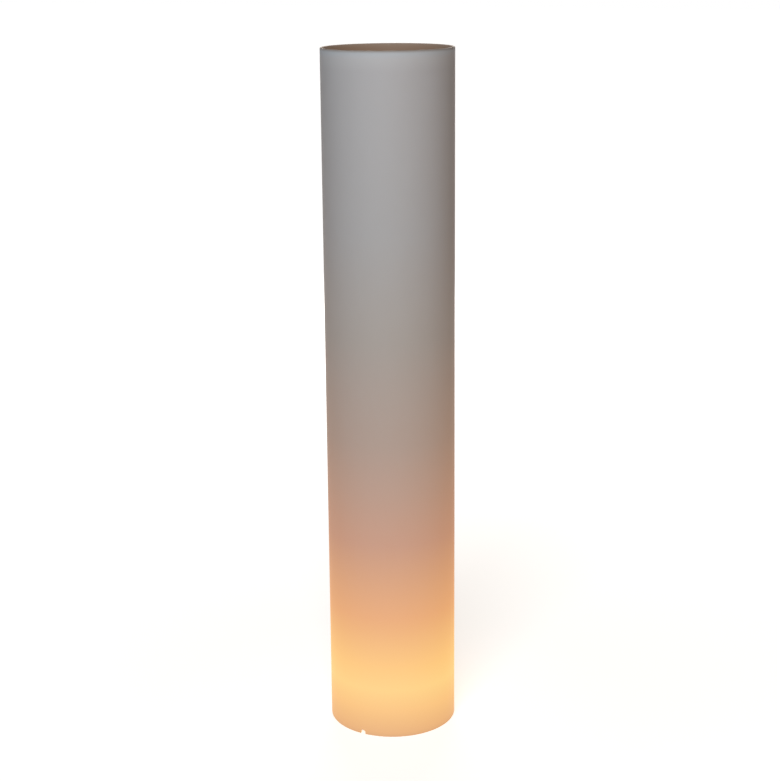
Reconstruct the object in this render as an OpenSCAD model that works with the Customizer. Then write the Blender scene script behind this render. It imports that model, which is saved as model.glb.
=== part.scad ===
// Column floor lamp.
// An open opal tube stands on the floor, over a low round base that carries the lampholder, its wiring
// and the bulb. The tube lifts straight off, and the bulb unscrews.
// The origin is on the floor, on the tube's axis. +Z is up, and -Y points to the cord notch.

/* [Shade tube] */
// Outer diameter of the tube
tube_d = 200; // [196:1:260]
// Height of the tube
tube_h = 1065; // [300:5:1500]
// Wall of the tube
tube_wall = 4; // [3:0.5:6]
// Rounding of the tube's edges
lip_r = 1.4; // [0.4:0.1:1.4]
// Width of the cord notch in the bottom edge
notch_w = 9; // [6:0.5:14]
// Height of the cord notch
notch_h = 6.5; // [5:0.5:8]

/* [Base plate] */
// Thickness of the plate
plate_t = 6; // [5:0.5:10]
// Gap between the plate's edge and the tube
plate_gap = 0.5; // [0.3:0.1:0.9]
// Chamfer of the plate's edges
plate_chamfer = 1; // [0.4:0.1:1.5]

/* [Rubber feet] */
// Number of feet
foot_count = 4; // [4:2:6]
// Height of a foot
foot_h = 8; // [7:0.5:14]
// Diameter of a foot at the plate
foot_d = 20; // [16:1:24]
// Taper of a foot's side, from the plate to the floor
foot_taper = 1; // [0:0.5:2]
// Distance from the plate's edge to the middle of a foot
foot_inset = 19; // [13:1:20]
// Rubber that the head of a foot's screw presses on
foot_web = 3; // [2:0.5:4]

/* [Cord inlet] */
// Bore of the grommet, which a 6.2 mm cord passes through
inlet_d = 6.4; // [5:0.2:8]
// Wall of the grommet in the plate's hole
grommet_wall = 1.8; // [1:0.1:2.4]
// Thickness of the grommet's lips
grommet_lip_t = 1.8; // [1:0.1:2.5]
// Reach of the lips past the plate's hole
grommet_lip_w = 2; // [1:0.1:3]
// Room between the grommet and the terminal block
inlet_room = 4; // [3:0.5:6]

/* [Wiring cover] */
// Room between the grommet and the dish's side
dish_room = 2.8; // [1:0.2:4]
// Height of the dish over the plate
dish_h = 20; // [18:0.5:24]
// Sheet thickness of the cover
sheet_t = 1.2; // [0.8:0.1:1.5]
// Rounding of the dish's shoulder
shoulder_r = 7; // [4:0.5:9]
// Width of the cover's flange
flange_w = 8; // [7:0.5:9]
// Gap between the cover's hole and the lampholder
cover_gap = 0.8; // [0.5:0.1:1.5]
// Depth of the hem round the cover's hole
hem_h = 3; // [2:0.5:5]
// Number of cover screws
cover_screw_count = 3; // [3:3:6]

/* [Lampholder] */
// Outer diameter of the porcelain
holder_d = 46; // [44:0.5:48]
// Diameter of the porcelain at its rim
holder_rim_d = 41; // [38:0.5:43]
// Height of the porcelain
holder_h = 38; // [36:0.5:44]
// Height of the porcelain's wide part
holder_foot_h = 19; // [14:0.5:24]
// Height of the slope from the wide part to the rim's diameter
holder_slope_h = 3; // [1:0.5:6]
// Rounding of the porcelain's rim
rim_edge = 1.5; // [0.5:0.1:2]
// Depth of the flare inside the rim
mouth_h = 4; // [2:0.5:5]
// Widening of the flare inside the rim
mouth_flare = 2; // [1:0.2:3]
// Porcelain under the socket
socket_floor = 8; // [7.5:0.5:12]
// Distance from the socket's shell to the porcelain's rim
shell_setback = 2; // [1:0.5:4]
// Wall of the shell behind its thread
shell_wall = 0.9; // [0.6:0.1:1.2]

/* [Contacts] */
// Rise of the contact strip over the socket's floor
contact_rise = 3.5; // [3:0.5:5]
// Half length of the strip's raised pad
pad_half = 2.2; // [1.5:0.1:3]
// Thickness of the contact strips
strip_t = 0.6; // [0.4:0.1:0.8]
// Width of the contact strips
strip_w = 5; // [4:0.5:6]
// Height of the side strip behind the shell
side_strip_h = 9.5; // [5:0.5:14]
// Distance of the two terminals from the middle plane
terminal_x = 6.5; // [6:0.5:7]
// Distance from the terminals' screws to the porcelain's side
terminal_inset = 6; // [5.5:0.5:7]
// Width of the pocket round a terminal
pocket_w = 8; // [7:0.5:9]
// Depth of the pocket round a terminal
pocket_h = 6; // [5.5:0.5:6]
// Distance from the middle to the pockets
pocket_y = 7; // [6.5:0.5:8]
// Depth of a terminal screw's hole over its pocket
terminal_hole_l = 1.5; // [1:0.1:1.8]
// Reach of a terminal's tongue past its screw's middle
tongue_reach = 3; // [2.5:0.1:3.5]

/* [Bracket] */
// Clear height under the bracket
bracket_rise = 5; // [4.5:0.5:9]
// Thickness of the bracket's strap
strap_t = 1.5; // [1:0.1:2]
// Width of the bracket's strap
strap_w = 12; // [10:0.5:14]
// Length of each foot of the bracket
strap_foot = 12; // [10:0.5:14]
// Gap between the bracket's legs and the porcelain
leg_gap = 1.5; // [0.5:0.5:3]
// Distance from the middle to the lampholder's fixing screws
holder_screw_x = 15; // [13:0.5:17]
// Porcelain left over the tips of the fixing screws
holder_tip_left = 2; // [1.6:0.1:3]

/* [Terminal block] */
// Distance between the poles
pole_pitch = 10; // [9.5:0.5:11]
// Length of the block along the wires
block_l = 16; // [15:0.5:18]
// Height of the block's base
block_h = 10.5; // [10:0.5:12]
// Height of the block's screw towers over its base
tower_h = 4.5; // [2:0.5:5]
// Outer diameter of a screw tower
tower_d = 6.4; // [5.5:0.1:6.4]
// Outer diameter of the brass inserts
insert_d = 5.6; // [5:0.1:5.6]
// Bore of the brass inserts
insert_bore = 3; // [2.4:0.1:3.2]
// Height of the poles' middle over the plate
pole_h = 5.65; // [5.2:0.05:6]
// Wall of the block past the ends of the inserts
block_end_wall = 1; // [0.6:0.1:1.5]
// Radial gap of a wire in the block's entry
entry_gap = 0.7; // [0.3:0.1:1]
// Depth of a wire screw's top inside its tower
screw_sink = 1; // [0.5:0.1:1.5]
// Room for the wires between the block and the lampholder
wire_room = 11; // [11:0.5:16]

/* [Inner wires] */
// Diameter over the insulation
wire_d = 2.3; // [2:0.1:2.6]
// Diameter of the bare ends
bare_d = 1.1; // [0.8:0.1:1.3]
// Length of a bare end
bare_l = 5.5; // [4.5:0.5:6]
// Bend radius of the earth wire
earth_bend = 5; // [4:0.5:6]

/* [Earth lug] */
// Diameter of the lug's ring
lug_d = 8.4; // [8:0.1:10]
// Sheet thickness of the lug
lug_t = 0.8; // [0.6:0.1:1.2]
// Outer diameter of the lug's barrel
barrel_d = 3.6; // [3:0.1:4]
// Length of the lug's barrel
barrel_l = 6.5; // [6:0.5:8]
// Neck between the lug's ring and its barrel
lug_neck = 1; // [0.5:0.1:2]
// Distance from the porcelain's side to the lug's middle
lug_room = 2; // [1:0.5:3]

/* [Screws] */
// Thread diameter of the large screws
m4_d = 4; // [3.5:0.1:4.4]
// Head diameter of the large screws
m4_head_d = 7.6; // [6.5:0.1:8]
// Head height of the large screws
m4_head_h = 2.4; // [2:0.1:2.8]
// Thread diameter of the small screws
m3_d = 3; // [2.5:0.1:3.2]
// Head diameter of the small screws
m3_head_d = 5.6; // [5:0.1:6]
// Head height of the small screws
m3_head_h = 2; // [1.6:0.1:2.2]
// Radial gap of a screw in its thread
thread_gap = 0.05; // [0.03:0.01:0.1]
// Radial gap of a screw in a clearance hole
hole_gap = 0.25; // [0.15:0.05:0.4]
// Radial gap of a screw's head in a foot
recess_gap = 0.6; // [0.3:0.1:1]
// Thickness left in the plate past a screw's tip
tip_left = 0.8; // [0.4:0.1:2]

/* [Bulb] */
// Diameter of the bulb's globe
globe_d = 45; // [40:1:60]
// Straight neck between the cap and the globe's hollow curve
neck_l = 0.6; // [0:0.2:20]
// Outer diameter of the bulb's neck
neck_d = 24; // [22:0.5:24]
// Radius of the hollow curve from the neck to the globe
neck_fillet = 10; // [6:1:14]
// Length of the neck inside the cap
neck_in_cap = 3.4; // [3:0.1:4]
// Wall of the glass
glass_t = 0.8; // [0.5:0.1:1.2]
// Height of the cap, from the bulb's tip
cap_h = 27; // [26:0.5:28]
// Crest diameter of the cap's thread
screw_d = 26.3; // [26:0.1:26.4]
// Depth of the thread
screw_depth = 0.95; // [0.7:0.05:1]
// Pitch of the thread
screw_pitch = 3.6; // [3.2:0.1:4]
// Height of the thread's lower end over the bulb's tip
thread_start = 7; // [7:0.5:9]
// Radial gap between the cap and the shell
screw_gap = 0.35; // [0.3:0.05:0.5]
// Sheet thickness of the cap at the thread's root
cap_wall = 0.6; // [0.4:0.1:0.8]
// Step from the thread's crest out to the cap's skirt
skirt_step = 0.2; // [0.1:0.05:0.25]
// Gap between the bulb's tip and the contact strip
contact_gap = 0.3; // [0.2:0.1:0.5]
// Diameter of the tip's contact
tip_d = 9.6; // [8:0.2:10.4]
// Height of the tip's contact
tip_h = 1.5; // [1:0.1:2]
// Height of the insulator's cone
insulator_h = 4.2; // [3.5:0.1:4.2]
// Diameter of the insulator's plug in the cap
plug_d = 20.2; // [18:0.2:21]
// Height of the plug
plug_h = 1.2; // [0.8:0.1:1.6]
// Reach of the cone's rim past the plug
cone_border = 0.8; // [0.5:0.1:1]
// Reach of the cone's tip past the contact
tip_border = 0.6; // [0.3:0.1:1]
// Diameter of the glass stem
stem_d = 6; // [4:0.5:8]
// Distance from the globe's middle down to the stem's button
stem_drop = 6; // [4:0.5:10]
// Diameter of the stem's button
button_d = 4; // [3.2:0.2:5]
// Distance from the globe's middle up to the filament
filament_rise = 4; // [0:0.5:8]
// Radius of the filament's arch
filament_r = 9; // [6:0.5:11]
// Diameter of the wound filament
filament_d = 0.6; // [0.4:0.1:1]
// Angle of the filament's arch
filament_arc = 260; // [200:5:300]
// Diameter of the leads
lead_d = 0.8; // [0.5:0.1:1]

/* [Hidden] */
$fn = 96;
// Overlap of cuts past the faces that they open
cut = 1;
// Clearance between pieces that only lie beside each other
slip = 0.1;

// Shade and base plate
tube_r = tube_d / 2;
bore_r = tube_r - tube_wall;
plate_r = bore_r - plate_gap;
plate_z = foot_h + plate_t;
tapped_l = plate_t - tip_left;
foot_ring_r = plate_r - foot_inset;
// The feet stand evenly on both sides of the cord's way
first_foot = 270 + 180 / foot_count;
first_cover_screw = 90;
grommet_edge = 0.4;

// Lampholder, from the plate up
holder_z = plate_z + bracket_rise + strap_t;
holder_r = holder_d / 2;
rim_r = holder_rim_d / 2;
socket_z = holder_z + socket_floor;
rim_z = holder_z + holder_h;
leg_x = holder_r + leg_gap + strap_t;
bracket_screw_x = leg_x + strap_foot / 2;
holder_screw_l = strap_t + socket_floor - holder_tip_left;
root_r = screw_d / 2 - screw_depth;
shell_in_r = screw_d / 2 + screw_gap;
shell_r = shell_in_r + shell_wall;
shell_top = rim_z - shell_setback;
tongue_z = holder_z + pocket_h - strip_t;
terminal_y = holder_r - terminal_inset;
tongue_end = terminal_y + tongue_reach;
side_strip_top = socket_z + side_strip_h;

// Terminal block, inlet and cover, outwards from the lampholder
block_y = holder_r + wire_room + block_l / 2;
block_w = 3 * pole_pitch;
// The live and neutral poles straddle the middle plane, and the earth pole is outside them
block_x = -pole_pitch / 2;
pole_z = plate_z + pole_h;
insert_l = block_l - 2 * block_end_wall;
tower_y = block_l / 4;
block_screw_x = pole_pitch / 2;
grommet_r = inlet_d / 2 + grommet_wall;
grommet_lip_r = grommet_r + grommet_lip_w;
inlet_y = block_y + block_l / 2 + inlet_room + grommet_lip_r;
dish_in_r = inlet_y + grommet_lip_r + dish_room;
dish_r = dish_in_r + sheet_t;
cover_screw_r = dish_r + flange_w / 2;

// Inner wires and earth lug
wire_r = wire_d / 2;
bare_r = bare_d / 2;
pole_in = -block_y + insert_l / 2 - bare_l;
pole_out = -block_y + block_l / 2 - block_end_wall + slip;
lead_steps = 7;
wire_sides = 8;
earth_pole_x = block_x - pole_pitch;
lug_y = holder_r + lug_room;
lug_z = plate_z + barrel_d / 2;
barrel_end_x = earth_pole_x - earth_bend - wire_r;
barrel_x = barrel_end_x - barrel_l;
lug_x = barrel_x - lug_neck - lug_d / 2;

// Bulb, from its tip up
tip_z = socket_z + contact_rise + contact_gap;
thread_low = tip_z + thread_start;
cap_top = tip_z + cap_h;
neck_low = cap_top - neck_in_cap;
thread_high = neck_low - cap_wall;
globe_r = globe_d / 2;
neck_r = neck_d / 2;
// The hollow curve touches both the neck and the globe
fillet_x = neck_r + neck_fillet;
fillet_z = cap_top + neck_l;
globe_z = fillet_z + sqrt(pow(globe_r + neck_fillet, 2) - fillet_x * fillet_x);
touch = globe_r / (globe_r + neck_fillet);
cap_low = tip_z + tip_h + insulator_h + slip;
plug_r = plug_d / 2;
skirt_r = screw_d / 2 + skirt_step;
stem_r = stem_d / 2;
stem_top = globe_z - stem_drop;
filament_z = globe_z + filament_rise;
hook_r = filament_r + filament_d / 2 + lead_d / 2 + slip / 2;

// Detail of the round threads
thread_sides = 24;
rings_a_turn = 7;
// Stretches a flat-sided ring so that a round piece of its radius fits inside it
ring_fit = 1 / cos(180 / thread_sides);

// Cross recess of a screw, as shares of its head's diameter
recess_l_share = 0.56;
recess_w_share = 0.12;

// Rectangle with rounded corners, from its lower left corner
module round_box(w, h, r) {
    translate([0, r]) square([w, h - 2 * r]);
    translate([r, 0]) square([w - 2 * r, h]);
    for (x = [r, w - r], y = [r, h - r]) translate([x, y]) circle(r = r);
}

// Pan-head screw: the head sits on z = 0, and the shank points down
module pan_screw(d, length, head_d, head_h) {
    dome_rise = head_h / 2;
    dome_r = (pow(head_d / 2, 2) + dome_rise * dome_rise) / (2 * dome_rise);
    slot_l = head_d * recess_l_share;
    slot_w = head_d * recess_w_share;
    difference() {
        union() {
            translate([0, 0, -length]) cylinder(d = d, h = length + head_h / 2);
            intersection() {
                cylinder(d = head_d, h = head_h);
                translate([0, 0, head_h - dome_r]) sphere(r = dome_r);
            }
        }
        for (a = [0, 90]) rotate(a) translate([-slot_l / 2, -slot_w / 2, dome_rise])
            cube([slot_l, slot_w, head_h]);
    }
}

module m4_screw(length) {
    pan_screw(m4_d, length, m4_head_d, m4_head_h);
}

module m3_screw(length) {
    pan_screw(m3_d, length, m3_head_d, m3_head_h);
}

// Upright hole or post from z = low to z = high
module upright(r, low, high) {
    translate([0, 0, low]) cylinder(r = r, h = high - low);
}

// Tapped hole through the base plate
module tapped(d) {
    upright(d / 2 + thread_gap, foot_h - cut, plate_z + cut);
}

// Round rod between two points
module rod(from, to, r) {
    way = to - from;
    turn = [0, acos(way.z / norm(way)), atan2(way.y, way.x)];
    translate(from) rotate(turn) cylinder(r = r, h = norm(way));
}

// Evenly spaced places on a ring round the axis
module around(count, r, first) {
    for (i = [0 : count - 1]) rotate(first + i * 360 / count) translate([r, 0, 0]) children();
}

// Skin through rings of equally many points. closed joins the last ring to the first
module ring_skin(rings, closed) {
    n = len(rings[0]);
    m = len(rings);
    sides = [for (i = [0 : m - (closed ? 1 : 2)], j = [0 : n - 1])
        let (next = (i + 1) % m, a = i * n + j, b = i * n + (j + 1) % n, c = next * n + j,
            d = next * n + (j + 1) % n)
        each [[a, c, b], [b, c, d]]];
    first_end = [for (j = [0 : n - 1]) j];
    last_end = [for (j = [n - 1 : -1 : 0]) (m - 1) * n + j];
    ends = closed ? [] : [first_end, last_end];
    polyhedron(points = [for (ring = rings) each ring], faces = concat(sides, ends), convexity = 8);
}

module notch_shape() {
    arch_z = notch_h - notch_w / 2;
    translate([0, arch_z]) circle(d = notch_w);
    translate([-notch_w / 2, -cut]) square([notch_w, max(arch_z, 0) + cut]);
}

module shade_tube() {
    color("whitesmoke") difference() {
        rotate_extrude() translate([bore_r, 0]) round_box(tube_wall, tube_h, lip_r);
        translate([0, -bore_r + cut, 0]) rotate([90, 0, 0])
            linear_extrude(tube_wall + 2 * cut) notch_shape();
    }
}

module base_plate() {
    edge_r = plate_r - plate_chamfer;
    color("white") difference() {
        translate([0, 0, foot_h]) rotate_extrude()
            polygon([[0, 0], [edge_r, 0], [plate_r, plate_chamfer], [plate_r, plate_t - plate_chamfer],
                [edge_r, plate_t], [0, plate_t]]);
        around(foot_count, foot_ring_r, first_foot) tapped(m4_d);
        around(cover_screw_count, cover_screw_r, first_cover_screw) tapped(m3_d);
        translate([0, -inlet_y, 0]) upright(grommet_r, foot_h - cut, plate_z + cut);
        for (side = [-1, 1]) {
            translate([side * bracket_screw_x, 0, 0]) tapped(m4_d);
            translate([block_x + side * block_screw_x, -block_y, 0]) tapped(m3_d);
        }
        translate([lug_x, -lug_y, 0]) tapped(m4_d);
    }
}

module rubber_feet() {
    top_r = foot_d / 2;
    color("dimgray") around(foot_count, foot_ring_r, first_foot) difference() {
        rotate_extrude() polygon([[0, 0], [top_r - foot_taper, 0], [top_r, foot_h], [0, foot_h]]);
        upright(m4_d / 2 + hole_gap, -cut, foot_h + cut);
        upright(m4_head_d / 2 + recess_gap, -cut, foot_h - foot_web);
    }
}

module foot_screws() {
    color("silver") around(foot_count, foot_ring_r, first_foot) translate([0, 0, foot_h - foot_web])
        rotate([180, 0, 0]) m4_screw(foot_web + tapped_l);
}

module cord_grommet() {
    lip_w = grommet_wall + grommet_lip_w - grommet_edge;
    color("black") translate([0, -inlet_y, foot_h]) rotate_extrude() translate([inlet_d / 2, 0]) {
        translate([0, -grommet_lip_t])
            round_box(grommet_wall, plate_t + 2 * grommet_lip_t, grommet_edge);
        for (z = [-grommet_lip_t, plate_t]) translate([grommet_edge, z])
            round_box(lip_w, grommet_lip_t, grommet_edge);
    }
}

// Sheet dish with a flange on the plate, a rounded shoulder and a hem round its hole
module wiring_cover() {
    bend_r = dish_r - shoulder_r;
    hole_r = holder_r + cover_gap;
    color("white") difference() {
        translate([0, 0, plate_z]) rotate_extrude() {
            translate([dish_in_r, 0]) square([flange_w + sheet_t, sheet_t]);
            translate([dish_in_r, 0]) square([sheet_t, dish_h - shoulder_r]);
            translate([hole_r, dish_h - sheet_t]) square([bend_r - hole_r, sheet_t]);
            translate([hole_r, dish_h - hem_h]) square([sheet_t, hem_h]);
            translate([bend_r, dish_h - shoulder_r]) difference() {
                intersection() {
                    circle(r = shoulder_r);
                    square(shoulder_r);
                }
                circle(r = shoulder_r - sheet_t);
            }
        }
        around(cover_screw_count, cover_screw_r, first_cover_screw)
            upright(m3_d / 2 + hole_gap, plate_z - cut, plate_z + sheet_t + cut);
    }
}

module cover_screws() {
    color("silver") around(cover_screw_count, cover_screw_r, first_cover_screw)
        translate([0, 0, plate_z + sheet_t]) m3_screw(sheet_t + tapped_l);
}

// Places its children at each pole's middle, on the plate
module at_poles() {
    for (i = [-1 : 1]) translate([block_x + i * pole_pitch, -block_y, plate_z]) children();
}

// Places its children over a pole's two wire screws
module at_wire_screws() {
    at_poles() for (y = [-tower_y, tower_y]) translate([0, y, 0]) children();
}

module terminal_block() {
    entry_r = wire_r + entry_gap;
    seat_l = insert_l + 2 * slip;
    color("ivory") difference() {
        union() {
            translate([block_x - block_w / 2, -block_y - block_l / 2, plate_z])
                cube([block_w, block_l, block_h]);
            at_wire_screws() upright(tower_d / 2, cut, block_h + tower_h);
        }
        at_poles() translate([0, 0, pole_z - plate_z]) rotate([90, 0, 0]) {
            translate([0, 0, -seat_l / 2]) cylinder(d = insert_d + 2 * slip, h = seat_l);
            translate([0, 0, -block_l / 2 - cut]) cylinder(r = entry_r, h = block_l + 2 * cut);
        }
        at_wire_screws() upright(m3_d / 2 + hole_gap, block_h / 2, block_h + tower_h + cut);
        for (side = [-1, 1]) translate([block_x + side * block_screw_x, -block_y, plate_z])
            upright(m3_d / 2 + hole_gap, -cut, block_h + cut);
    }
}

module terminal_inserts() {
    color("gold") difference() {
        at_poles() translate([0, 0, pole_z - plate_z]) rotate([90, 0, 0])
            translate([0, 0, -insert_l / 2]) difference() {
                cylinder(d = insert_d, h = insert_l);
                translate([0, 0, -cut]) cylinder(d = insert_bore, h = insert_l + 2 * cut);
            }
        at_wire_screws() upright(m3_d / 2 + thread_gap, pole_z - plate_z, block_h);
    }
}

// Slotted headless screws that press on the wires
module terminal_screws() {
    low = pole_z - plate_z + bare_r + slip;
    high = block_h + tower_h - screw_sink;
    slot_w = 0.6;
    slot_depth = 0.9;
    color("silver") at_wire_screws() difference() {
        upright(m3_d / 2, low, high);
        translate([-m3_d, -slot_w / 2, high - slot_depth]) cube([2 * m3_d, slot_w, slot_depth + cut]);
    }
}

module block_screws() {
    color("silver") for (side = [-1, 1])
        translate([block_x + side * block_screw_x, -block_y, plate_z + block_h])
            m3_screw(block_h + tapped_l);
}

// Strap with two raised legs under the porcelain
module holder_bracket() {
    color("silver") difference() {
        rotate([90, 0, 0]) translate([0, plate_z, -strap_w / 2]) linear_extrude(strap_w) {
            translate([-leg_x, bracket_rise]) square([2 * leg_x, strap_t]);
            for (side = [0, 1]) mirror([side, 0]) translate([leg_x - strap_t, 0]) {
                square([strap_t, bracket_rise + strap_t]);
                square([strap_foot + strap_t, strap_t]);
            }
        }
        for (side = [-1, 1]) {
            translate([side * bracket_screw_x, 0, 0])
                upright(m4_d / 2 + hole_gap, plate_z - cut, plate_z + strap_t + cut);
            translate([side * holder_screw_x, 0, 0])
                upright(m3_d / 2 + hole_gap, plate_z + bracket_rise - cut, holder_z + cut);
        }
    }
}

module bracket_screws() {
    color("silver") for (side = [-1, 1]) translate([side * bracket_screw_x, 0, plate_z + strap_t])
        m4_screw(strap_t + tapped_l);
}

module holder_screws() {
    color("silver") for (side = [-1, 1]) translate([side * holder_screw_x, 0, plate_z + bracket_rise])
        rotate([180, 0, 0]) m3_screw(holder_screw_l);
}

// Part of a ring that stands behind the side strip's terminal
module ring_part(r_in, r_out, low, high, width) {
    intersection() {
        difference() {
            upright(r_out, low, high);
            upright(r_in, low - cut, high + cut);
        }
        translate([-terminal_x - width / 2, -r_out - cut, low]) cube([width, r_out, high - low]);
    }
}

module holder_body() {
    foot_edge = 1;
    socket_r = shell_r + slip;
    color("white") difference() {
        translate([0, 0, holder_z]) rotate_extrude() {
            polygon([[0, 0], [holder_r - foot_edge, 0], [holder_r, foot_edge], [holder_r, holder_foot_h],
                [rim_r, holder_foot_h + holder_slope_h], [rim_r, holder_h - rim_edge],
                [rim_r - rim_edge, holder_h - rim_edge], [rim_r - rim_edge, holder_h], [0, holder_h]]);
            translate([rim_r - rim_edge, holder_h - rim_edge]) circle(r = rim_edge);
        }
        upright(socket_r, socket_z, rim_z + cut);
        translate([0, 0, rim_z - mouth_h])
            cylinder(r1 = socket_r, r2 = socket_r + mouth_flare, h = mouth_h + slip);
        for (side = [-1, 1]) {
            translate([side * terminal_x - pocket_w / 2, -holder_r - cut, holder_z - cut])
                cube([pocket_w, holder_r + cut - pocket_y, pocket_h + cut]);
            translate([side * terminal_x, -terminal_y, 0])
                upright(m3_d / 2 + hole_gap, holder_z, holder_z + pocket_h + terminal_hole_l);
            translate([side * holder_screw_x, 0, 0])
                upright(m3_d / 2 + thread_gap, holder_z - cut, socket_z - holder_tip_left / 2);
        }
        // Slot and recess of the side strip
        ring_part(shell_r - slip, shell_r + strip_t + 2 * slip, holder_z + cut, side_strip_top + slip,
            strip_w + 2 * slip);
        // Slot of the strip under the bulb's tip
        translate([terminal_x - strip_w / 2 - slip, -pocket_y - strip_t - 2 * slip, holder_z + cut])
            cube([strip_w + 2 * slip, strip_t + 2 * slip, socket_floor]);
    }
}

// Share of a full thread at a height, so that it fades out at both ends
function fade(z, low, high) = max(0, min(1, (z - low) * 2 / screw_pitch, (high - z) * 2 / screw_pitch));

// Right-handed round thread: 1 on the crest and 0 in the root
function crest(z, a) = (1 + cos(360 * z / screw_pitch - a)) / 2;

// Heights of a thread's rings
function thread_steps(low, high) =
    let (n = ceil((high - low) * rings_a_turn / screw_pitch)) [for (i = [0 : n]) low + (high - low) * i / n];

function ring_angles() = [for (j = [0 : thread_sides - 1]) j * 360 / thread_sides];

function plain_ring(r, z) = [for (a = ring_angles()) [r * cos(a), r * sin(a), z]];

// Outside thread that fades to its root
function outer_ring(z, low, high) = [for (a = ring_angles())
    let (r = root_r + screw_depth * fade(z, low, high) * crest(z, a)) [r * cos(a), r * sin(a), z]];

// Inside thread that fades to its widest radius
function inner_ring(z, low, high) = [for (a = ring_angles())
    let (r = shell_in_r - screw_depth * fade(z, low, high) * (1 - crest(z, a))) [r * cos(a), r * sin(a), z]];

module holder_shell() {
    low = thread_low - screw_pitch / 2;
    high = shell_top - screw_pitch / 2;
    color("gold") ring_skin(concat(
        [plain_ring(shell_r, socket_z), plain_ring(shell_r, shell_top), plain_ring(shell_in_r, shell_top)],
        [for (z = thread_steps(-high, -low)) inner_ring(-z, low, high)],
        [plain_ring(shell_in_r, socket_z)]), true);
}

// Spring strip: a raised pad under the tip, a flat foot, and a leg to its tongue in the pocket
module centre_contact() {
    pad_z = socket_z + contact_rise;
    leg_y = pocket_y + slip + strip_t;
    // The strip climbs to its pad within this length, and droops past it
    ramp_l = 1;
    droop = 1.2;
    ramp_y = pad_half + ramp_l;
    droop_z = pad_z - droop;
    bend = strip_t / 2;
    foot_top = socket_z + strip_t;
    strip_x = terminal_x - strip_w / 2;
    color("gold") difference() {
        union() {
            translate([-strip_w / 2, 0, 0]) rotate([90, 0, 90]) linear_extrude(terminal_x + strip_w)
                polygon([[-leg_y, socket_z], [-leg_y, foot_top], [-ramp_y - slip, foot_top],
                    [-pad_half, pad_z], [pad_half, pad_z], [ramp_y, droop_z], [ramp_y - bend, droop_z - bend],
                    [pad_half - bend, pad_z - strip_t], [-pad_half + bend, pad_z - strip_t],
                    [-ramp_y + bend, socket_z]]);
            translate([strip_x, -leg_y, tongue_z]) cube([strip_w, strip_t, foot_top - tongue_z]);
            translate([strip_x, -tongue_end, tongue_z])
                cube([strip_w, tongue_end - leg_y + strip_t, strip_t]);
        }
        translate([terminal_x, -terminal_y, 0])
            upright(m3_d / 2 + hole_gap, tongue_z - cut, holder_z + pocket_h + cut);
    }
}

// Strip from the shell's outside down to its tongue in the pocket
module side_contact() {
    // The tongue starts inside the ring at the strip's outer corner
    start_y = sqrt(pow(shell_r, 2) - pow(terminal_x + strip_w / 2, 2)) - cut;
    color("gold") difference() {
        union() {
            ring_part(shell_r, shell_r + strip_t, tongue_z, side_strip_top, strip_w);
            translate([-terminal_x - strip_w / 2, -tongue_end, tongue_z])
                cube([strip_w, tongue_end - start_y, strip_t]);
        }
        translate([-terminal_x, -terminal_y, 0])
            upright(m3_d / 2 + hole_gap, tongue_z - cut, holder_z + pocket_h + cut);
    }
}

// Each head presses a wire's bare end against its tongue
module holder_terminal_screws() {
    grip = bare_d + slip;
    color("silver") for (side = [-1, 1]) translate([side * terminal_x, -terminal_y, tongue_z - grip])
        rotate([180, 0, 0]) m3_screw(grip + strip_t + terminal_hole_l - slip);
}

function unit(v) = v / norm(v);

// Octagon round a point of a wire, square to its way
function wire_ring(p, way, r) = let (side = unit(cross(way, [0, 0, 1])), up = cross(side, way))
    [for (j = [0 : wire_sides - 1]) let (a = j * 360 / wire_sides) p + r * (side * cos(a) + up * sin(a))];

// Way of the wire at point i of its route
function way_at(route, i) = unit(route[min(i + 1, len(route) - 1)] - route[max(i - 1, 0)]);

// Wire along a route whose first and last stretches are bare
module wire(route) {
    last = len(route) - 1;
    start = unit(route[1] - route[0]);
    stop = unit(route[last] - route[last - 1]);
    ring_skin(concat(
        [wire_ring(route[0], start, bare_r), wire_ring(route[1], start, bare_r)],
        [wire_ring(route[1], start, wire_r)],
        [for (i = [2 : last - 2]) wire_ring(route[i], way_at(route, i), wire_r)],
        [wire_ring(route[last - 1], stop, wire_r)],
        [wire_ring(route[last - 1], stop, bare_r), wire_ring(route[last], stop, bare_r)]), false);
}

// Wire from a pole to the lampholder's terminal on the same side. It rises and swings out in one bend
function lead_route(side) =
    let (from = [side * pole_pitch / 2, pole_out + wire_d, pole_z],
        to_x = side * (terminal_x + m3_d / 2 + bare_r + slip),
        to = [to_x, -tongue_end - wire_r, tongue_z - bare_r - slip / 2],
        end = to + [0, wire_r - slip, 0])
    concat([[from.x, pole_in, from.z], [from.x, pole_out, from.z]],
        [for (i = [0 : lead_steps]) let (t = i / lead_steps, s = t * t * (3 - 2 * t))
            [from.x + (to.x - from.x) * s, from.y + (to.y - from.y) * t, from.z + (to.z - from.z) * s]],
        [end, end + [0, bare_l, 0]]);

module live_wire() {
    color("saddlebrown") wire(lead_route(1));
}

module neutral_wire() {
    color("royalblue") wire(lead_route(-1));
}

// Wire from the outer pole down to the lug's barrel: a quarter bend that sinks as it turns
module earth_wire() {
    bend_y = -lug_y - earth_bend;
    drop = pole_z - lug_z;
    barrel_in = barrel_end_x + slip;
    straight_l = 1;
    color("yellowgreen") wire(concat(
        [for (y = [pole_in, pole_out, pole_out + straight_l]) [earth_pole_x, y, pole_z]],
        [for (a = [0 : 15 : 90]) [earth_pole_x - earth_bend * (1 - cos(a)), bend_y + earth_bend * sin(a),
            pole_z - drop * (1 - cos(2 * a)) / 2]],
        [[barrel_in, -lug_y, lug_z], [barrel_in - bare_l, -lug_y, lug_z]]));
}

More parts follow.
